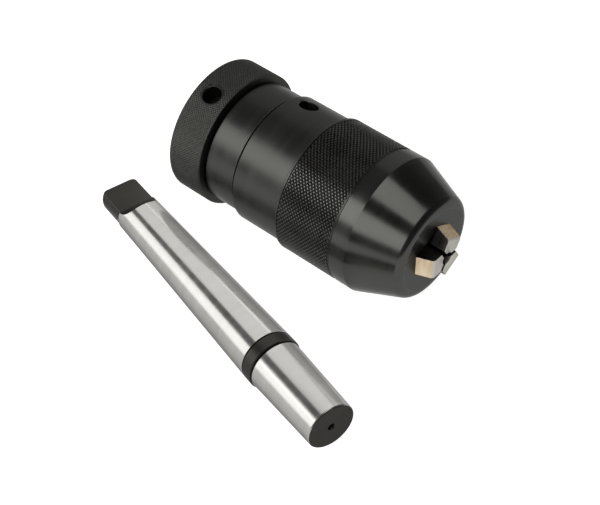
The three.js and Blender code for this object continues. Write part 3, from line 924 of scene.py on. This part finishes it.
# %% Jaw guide with its three channels
JAW_CLOCKS = (180, 60, -60)
JAW_SLOPE = math.tan(math.radians(21))
JAW_BACK = 8.57
CHANNEL_WIDTH, CHANNEL_START, CHANNEL_SLACK = 8.3, 50.6, 0.15
GUIDE, GUIDE_START, SKIRT_BORE = BORE - 0.1, 48.2, 17.6
GUIDE_BORE, GUIDE_FLOOR = 6.6, 72.7
guide = turned("slotted_jaw_guide", [
    (GUIDE_START, SKIRT_BORE, 0), (GUIDE_START, GUIDE, 0), (bore_cone_x, GUIDE, 0),
    (NOSE_X, GUIDE_NOSE, 0), (NOSE_X, GUIDE_BORE, 0.45), (GUIDE_FLOOR, GUIDE_BORE, 0),
    (GUIDE_FLOOR, SKIRT_BORE, 0),
], sides=128)
guide.data.materials.append(BLACK_OXIDE)


def channel(clock):
    """A cutter for one slot. Its floor slants out from the nose until it is through the wall."""
    def floor(x):
        return JAW_BACK + CHANNEL_SLACK + (NOSE_X - x) * JAW_SLOPE

    past_nose = NOSE_X + 1
    through = BORE + 0.4
    through_x = NOSE_X - (through - JAW_BACK - CHANNEL_SLACK) / JAW_SLOPE
    cutter = prism("channel", [
        (CHANNEL_START, 0), (past_nose, 0), (past_nose, floor(past_nose)),
        (through_x, through), (CHANNEL_START, through),
    ], CHANNEL_WIDTH)
    cutter.data.materials.append(BLACK_OXIDE)
    return clocked(cutter, clock)


cut(guide, [channel(clock) for clock in JAW_CLOCKS])
settle(guide, CHUCK_AXIS, "shell", "black_oxide", "jaw_guide")

# %% [markdown]
# ## Jaws
# Each jaw is a ground wedge. The CAD piece already has the right shape, so its copy is cleaned up
# and its square edges get a small ground bevel, which draws the fine bright outlines seen on real
# jaws. The whole jaw is one ground steel. The end keeps its plain bright colour, the back is tinted
# straw and gold as a painted reflection, and the sides are tinted nearly black as painted shade.
# The bare colour on the rubbed edges is partly wear and partly a painted highlight along the edges.

# %% Jaws with ground edges
JAW_BEVEL, BEVEL_STEPS, BEVEL_FROM_DEGREES = 0.15, 3, 66
MERGE_WITHIN = 0.15  # closes up the tiny edges of the lead-in, which would spoil the bevel


def ground_copy(node, name, bevel, axis):
    """A merged copy of a CAD piece in its axis frame, with small round bevels on its edges."""
    form = bmesh.new()
    form.from_mesh(frame["nodes"][node].data)
    form.transform(axis.inverted())
    bmesh.ops.remove_doubles(form, verts=form.verts, dist=MERGE_WITHIN)
    bmesh.ops.dissolve_limit(form, angle_limit=math.radians(1), verts=form.verts, edges=form.edges)
    piece = new_piece(name, form)
    edge = piece.modifiers.new("ground_edges", "BEVEL")
    edge.width, edge.segments = bevel, BEVEL_STEPS
    edge.limit_method, edge.angle_limit = "ANGLE", math.radians(BEVEL_FROM_DEGREES)
    edge.harden_normals = True
    edge.use_clamp_overlap = False
    return apply_modifiers(piece)


def jaw_face_lit_or_shaded(normal, clock):
    """0 for the ground end and the bevels round the back, 1 for the back with its painted
    reflection,
    2 for the faces with painted shade: the sides, the gripping faces and the lead-in."""
    outward = normal.dot(Vector(on_surface(0, clock, 1)))
    if normal.x > 0.85 or (normal.x > 0.4 and outward > 0.2) or 0.5 < outward < 0.8:
        return 0
    return 1 if outward > 0.6 else 2


for number, clock in zip((1, 2, 3), JAW_CLOCKS):
    jaw = ground_copy(f"jaw_{number}", f"ground_jaw_{number}", JAW_BEVEL, CHUCK_AXIS)
    jaw.data.materials.clear()
    for finish in (JAW_END, JAW_BACK_PAINTED_REFLECTION, JAW_SIDE_PAINTED_SHADE):
        jaw.data.materials.append(finish)
    # Each face takes the plain end colour, the back's painted reflection or the sides' painted
    # shade, by which way it faces.
    for face in jaw.data.polygons:
        face.material_index = jaw_face_lit_or_shaded(face.normal, clock)
    settle(jaw, CHUCK_AXIS, f"jaw_{number}", "jaw_steel", f"jaw_{number}")

# %% [markdown]
# ## Arbor
# The arbor joins the chuck to a machine. Its long Morse cone and short taper are ground bright.
# The tang, the collar and the small end face keep their black skin, because only the tapers are
# ground. The body is turned, and two cutters then leave the flats of the tang with their round
# run-out.

# %% Turn the arbor
COLLAR, COLLAR_END, SHORT_END = 9, 4.3, 32.3
TANG, TANG_HALF = 6.75, 3.15
SHANK_START, SHANK_END = -75, -0.5
REAR_GROOVE, FRONT_GROOVE, FRONT_GROOVE_START = 8.6, 8.3, COLLAR_END - 0.4
SHORT_START = 8.58
CENTRE_MOUTH, CENTRE_HOLE = 1.3, 0.7
small_end, big_end = (COLLAR + x * TAPER_SLOPE for x in (SHANK_START, SHANK_END))
short_end_radius = SOCKET_MOUTH - SOCKET_SLOPE * (SHORT_END - COLLAR_END)
arbor = turned("ground_arbor", [
    (ARBOR_TANG_X, 0, 0), (ARBOR_TANG_X, TANG, 1.5), (SHANK_START - 0.8, TANG, 0),
    (SHANK_START, small_end, 0.1), (SHANK_END, big_end, 0.1),
    (-0.3, REAR_GROOVE, 0), (0, REAR_GROOVE, 0), (0.15, COLLAR, 0.1),
    (FRONT_GROOVE_START, COLLAR, 0.35), (FRONT_GROOVE_START, FRONT_GROOVE, 0),
    (COLLAR_END, FRONT_GROOVE, 0), (COLLAR_END + 0.2, SHORT_START, 0.08),
    (SHORT_END, short_end_radius, 0.55), (SHORT_END, CENTRE_MOUTH, 0.1),
    (SHORT_END - 1.1, CENTRE_HOLE, 0), (SHORT_END - 5, CENTRE_HOLE, 0), (SHORT_END - 5.6, 0, 0),
])
for finish in (GROUND_STEEL, ARBOR_OXIDE):
    arbor.data.materials.append(finish)


def black_part(x, out):
    """True where the arbor keeps its black skin: tang, collar, end face and centre hole."""
    on_tang = x < SHANK_START - 0.3
    on_collar = -0.45 < x < COLLAR_END + 0.02
    on_end = x > SHORT_END - 0.12 or (x > 20 and out < 3)
    return on_tang or on_collar or on_end


for face in arbor.data.polygons:
    middle = sum((arbor.data.vertices[v].co for v in face.vertices), Vector()) / len(face.vertices)
    out = math.hypot(middle.y, middle.z)
    face.material_index = int(black_part(middle.x, out))


# %% [markdown]
# A round mill cuts each flat of the tang, and leaves a hollow run-out of its own radius in the
# shank. The two cutters are the same shape on opposite sides.

# %% Cut the tang
RUN_OUT, RUN_OUT_X, RUN_OUT_STEPS = 6.0, -76.0, 20
CUTTER_DEPTH = 20


def tang_cutter(side):
    outline = [(ARBOR_TANG_X - 1, TANG_HALF)]
    for step in range(RUN_OUT_STEPS + 1):
        angle = math.radians(-90 + 90 * step / RUN_OUT_STEPS)
        reach, rise = RUN_OUT * math.cos(angle), RUN_OUT * math.sin(angle)
        outline.append((RUN_OUT_X + reach, TANG_HALF + RUN_OUT + rise))
    outline.append((ARBOR_TANG_X - 1, TANG_HALF + RUN_OUT))
    cutter = prism("tang_cutter", outline, CUTTER_DEPTH)
    cutter.data.materials.append(ARBOR_OXIDE)
    return clocked(cutter, side * 90)


cut(arbor, [tang_cutter(1), tang_cutter(-1)])
settle(arbor, ARBOR_AXIS, "arbor", "ground_steel", "taper_arbor")

# %% [markdown]
# ## Inner pieces
# The screw, the lock ring and the bearing stay as the CAD made them, because the shell hides
# them. They still get their real metals, for the moments when the open jaws let some of them be
# seen.

# %% Metals for the inner pieces
INNER = {
    "drive_screw": HARD_STEEL, "lock_ring": HARD_STEEL, "body_race": BEARING_STEEL,
    "sleeve_race": BEARING_STEEL, "ball_cage": BRASS,
}
finished = 0
for name, node in frame["nodes"].items():
    metal_here = BEARING_STEEL if name.startswith("bearing_ball") else INNER.get(name)
    if metal_here:
        node.data.materials.clear()
        node.data.materials.append(metal_here)
        finished += 1
print("Inner pieces finished:", finished)

# %% [markdown]
# ## Which lights shine on what
# The far panel lights the chuck alone, the arbor's own panels light only the arbor, and the front
# panel lights everything but the arbor. A small white card stands between the two, as in a
# product shot, so that the bright steel mirrors it and not the black chuck.

# %% Sort the pieces for the panels
arbor_only.objects.link(arbor)
for piece in list(bpy.data.objects):
    if piece.type == "MESH" and piece not in (arbor, bench):
        chuck_only.objects.link(piece)
all_but_arbor.objects.link(arbor)
all_but_arbor.collection_objects[0].light_linking.link_state = "EXCLUDE"
